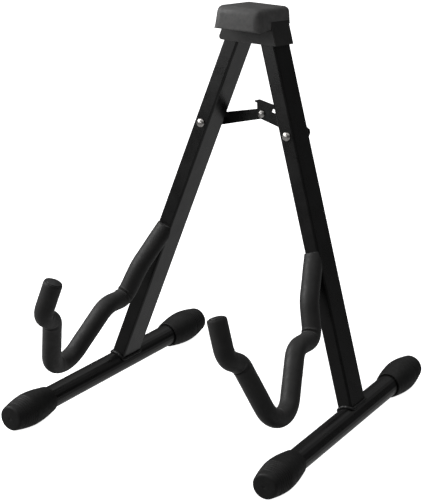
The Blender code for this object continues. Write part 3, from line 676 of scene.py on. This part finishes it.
def slot_cutter(half, front, back, centre):
    """A slot open downwards, with a round top about the pivot."""
    arc = [(half * math.cos(math.pi * i / 24), half * math.sin(math.pi * i / 24)) for i in range(25)]
    outline = arc + [(-half, -80 * MM), (half, -80 * MM)]
    return prism([(centre.x + x, centre.z + z) for x, z in outline], front, back)


# ---------------------------------------------------------------- welds


def make_foot_weld(side):
    """The bead round the foot of the leg, laid in short overlapping runs."""
    leg = LEG[side]
    along = leg.to_3x3().inverted() @ Matrix.Rotation(SIDES[side] * FOOT_SPLAY, 3, "Z") @ Vector((0, 1, 0))
    reach = FOOT_RADIUS + WELD_OFF
    half_x, half_y = LEG_HALF_WIDTH + WELD_OFF, LEG_FACE + WELD_OFF
    outline = []
    for quarter, (sx, sy) in enumerate(((1, 1), (-1, 1), (-1, -1), (1, -1))):
        for i in range(7):
            a = math.radians(90 * quarter + 15 * i)
            x = sx * (half_x - WELD_CORNER) + WELD_CORNER * math.cos(a)
            y = sy * (half_y - WELD_CORNER) + WELD_CORNER * math.sin(a)
            outline.append(Vector((x, y, 0)))
    route = resampled(outline + [outline[0]], WELD_SPACING)[:-1]
    points = []
    for point in route:
        x, y = point.x, point.y
        a = 1 - along.z**2
        b = -2 * along.z * (x * along.x + y * along.y)
        c = x**2 + y**2 - (x * along.x + y * along.y) ** 2 - reach**2
        points.append(Vector((x, y, (-b + math.sqrt(b * b - 4 * a * c)) / (2 * a))))

    def ring(i, angle):
        run = abs(math.sin(i * 0.42 + 1.5 * noise.noise(points[i] * 300)))
        lump = noise.noise(points[i] * 160 + Vector((SIDES[side], 0, 0)))
        from_front = (points[i] - Vector((0, -half_y, points[i].z))).length
        front_lump = 0.5 * MM * max(0.0, 1 - from_front / (9 * MM))
        return WELD_RADIUS + 0.22 * MM * run + 0.4 * MM * lump + front_lump

    bead = sweep(f"weld_{side}", points, ring, 14, Vector((0, 0, 1)), leg, closed=True)
    finished(bead, f"{side}_half", "frame_paint", f"weld_foot_{side}", material=WELD, angle=80)


# ---------------------------------------------------------------- fasteners


def dome_profile(radius, height, flange):
    """A round head: a thin vertical edge and a smooth crown above the bearing face."""
    profile = [(0, 0), (radius - 0.15 * MM, 0), (radius, 0.15 * MM), (radius, flange)]
    for i in range(1, 13):
        a = i / 12 * math.pi / 2
        profile.append((radius * math.cos(a), flange + (height - flange) * math.sin(a)))
    return profile


def node_centre(name):
    low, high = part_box(name)
    return (low + high) / 2


def join_into(obj, other):
    """Adds another object's mesh to this one's."""
    work = bmesh.new()
    work.from_mesh(obj.data)
    other.data.transform(obj.matrix_world.inverted() @ other.matrix_world)
    work.from_mesh(other.data)
    work.to_mesh(obj.data)
    work.free()
    bpy.data.objects.remove(other)


def front_matrix(point, out):
    """A frame at a point on the A's middle plane moved out of its front, Z pointing out."""
    return axes_matrix(Vector(point) + NORMAL * out, PLUMB, NORMAL)


def make_bolt(side):
    """A round-headed bolt in one turned piece: a polished head on the leg's face and a threaded end."""
    face = LEG_FACE + GAP
    bottom = extent(f"brace_bolt_{side}")[0] - face
    height = bottom + 0.5 * MM
    profile = [(0, bottom), (BOLT_SHANK - 0.6 * MM, bottom), (BOLT_SHANK - 0.1 * MM, height)]
    while height < bottom + BOLT_THREAD:
        profile += [(BOLT_SHANK - 0.38 * MM, height + BOLT_PITCH / 2), (BOLT_SHANK, height + BOLT_PITCH)]
        height += BOLT_PITCH
    profile += [(BOLT_SHANK, 0)] + dome_profile(*BOLT_HEAD)[1:]
    bolt = lathe(f"bolt_{side}", profile, front_matrix(joint(f"brace_{side}_swing")["pos_m"], face), 48)
    finished(bolt, f"{side}_half", "hardware", f"brace_bolt_{side}", angle=30)


def extent(name):
    """How far a CAD node reaches along the A's normal, from its middle plane: (behind, in front)."""
    node = frame["nodes"][name]
    reach = [(node.matrix_world @ vertex.co - APEX).dot(NORMAL) for vertex in node.data.vertices]
    return min(reach), max(reach)


def make_rivet():
    """The rivet in the middle of the brace: a domed head in front and a set tail behind."""
    middle = sum((node_centre("brace_rivet"), node_centre("brace_rivet_tail")), Vector()) / 2
    middle -= NORMAL * (middle - APEX).dot(NORMAL)
    back, front = extent("brace_rivet")
    seat = front - RIVET_HEAD[1]
    head = lathe("rivet", dome_profile(*RIVET_HEAD), front_matrix(middle, seat), 48)
    join_into(head, make_stem(middle, back, seat))
    finished(head, "brace_right", "hardware", "brace_rivet")
    back, front = extent("brace_rivet_tail")
    seat = back + RIVET_TAIL[1]
    turned_round = front_matrix(middle, seat) @ Matrix.Rotation(math.pi, 4, "X")
    tail = lathe("rivet_tail", dome_profile(*RIVET_TAIL), turned_round, 48)
    join_into(tail, make_stem(middle, seat, front))
    finished(tail, "brace_left", "hardware", "brace_rivet_tail")


def make_stem(middle, back, front):
    """A length of the rivet's shank."""
    profile = [(0, 0), (RIVET_SHANK, 0), (RIVET_SHANK, front - back), (0, front - back)]
    return lathe("stem", profile, front_matrix(middle, back), 32)


# ---------------------------------------------------------------- CAD nodes that stay


def dress_nodes():
    """Materials for the CAD nodes, and softened edges on the cut sheet and the nuts."""
    slots = {entry["node"]: entry["material_slot"] for entry in frame["record"]["subparts"]}
    for name, node in frame["nodes"].items():
        node.data.materials.clear()
        node.data.materials.append(LOOKS[slots[name]])
        node.data.shade_smooth()
        node.data.set_sharp_from_angle(angle=math.radians(35))
    for name, width in SHEET_EDGES.items():
        bevel = frame["nodes"][name].modifiers.new("edges", "BEVEL")
        bevel.width, bevel.segments, bevel.limit_method = width * MM, 3, "ANGLE"
        bevel.angle_limit = math.radians(35)
        bevel.harden_normals = True


# ---------------------------------------------------------------- studio


def make_camera():
    back = Vector(
        (
            math.sin(CAMERA_AZIMUTH) * math.cos(CAMERA_ELEVATION),
            -math.cos(CAMERA_AZIMUTH) * math.cos(CAMERA_ELEVATION),
            math.sin(CAMERA_ELEVATION),
        )
    )
    camera = bpy.data.objects.new("camera", bpy.data.cameras.new("camera"))
    camera.data.lens = CAMERA_LENS
    camera.location = Vector(CAMERA_TARGET) + back * CAMERA_DISTANCE
    camera.rotation_euler = (-back).to_track_quat("-Z", "Y").to_euler()
    camera.data.clip_end = 50
    bpy.context.scene.collection.objects.link(camera)
    bpy.context.scene.camera = camera


def make_light(name, position, aim, size, power):
    """A soft rectangular lamp at a position, aimed at a point, that the camera doesn't see."""
    data = bpy.data.lights.new(name, "AREA")
    data.shape = "RECTANGLE"
    data.size, data.size_y = size
    data.energy = power
    light = bpy.data.objects.new(name, data)
    light.location = position
    light.rotation_euler = (Vector(aim) - Vector(position)).to_track_quat("-Z", "Y").to_euler()
    light.visible_camera = False
    bpy.context.scene.collection.objects.link(light)


def make_world():
    """Room light by height: dark at the horizon, paler below from the floor and above from the ceiling."""
    world = bpy.data.worlds.new("studio")
    world.use_nodes = True
    nodes, links = world.node_tree.nodes, world.node_tree.links
    place = nodes.new("ShaderNodeTexCoord")
    parts = nodes.new("ShaderNodeSeparateXYZ")
    spread = nodes.new("ShaderNodeMapRange")
    spread.inputs["From Min"].default_value = -1.0
    ramp = nodes.new("ShaderNodeValToRGB")
    elements = ramp.color_ramp.elements
    while len(elements) < len(WORLD_STOPS):
        elements.new(0.5)
    for element, (position, value) in zip(elements, WORLD_STOPS):
        element.position = position
        element.color = (value, value, value, 1)
    links.new(place.outputs["Generated"], parts.inputs["Vector"])
    links.new(parts.outputs["Z"], spread.inputs["Value"])
    links.new(spread.outputs["Result"], ramp.inputs["Fac"])
    links.new(ramp.outputs["Color"], nodes["Background"].inputs["Color"])
    bpy.context.scene.world = world


def make_studio():
    make_world()
    bpy.context.scene.view_settings.view_transform = "Standard"
    make_light("key", *KEY)
    make_light("low_card", *LOW_CARD)
    mesh = bpy.data.meshes.new("floor")
    work = bmesh.new()
    bmesh.ops.create_grid(work, x_segments=4, y_segments=4, size=FLOOR_SIZE)
    work.to_mesh(mesh)
    work.free()
    floor = object_of("floor", mesh, Matrix.Translation((0, 0, -FLOOR_DROP)))
    floor.visible_glossy = floor.visible_diffuse = False
    mesh.materials.append(floor_paper())


def make_stand():
    dress_nodes()
    for side in SIDES:
        make_foam(side)
        make_tip(side)
        make_foot_weld(side)
        for end in ("front", "rear"):
            make_cap(side, end)
    make_pad()
    for side in SIDES:
        make_bolt(side)
    make_rivet()


WELD = weld_metal()
make_camera()
make_studio()
make_stand()
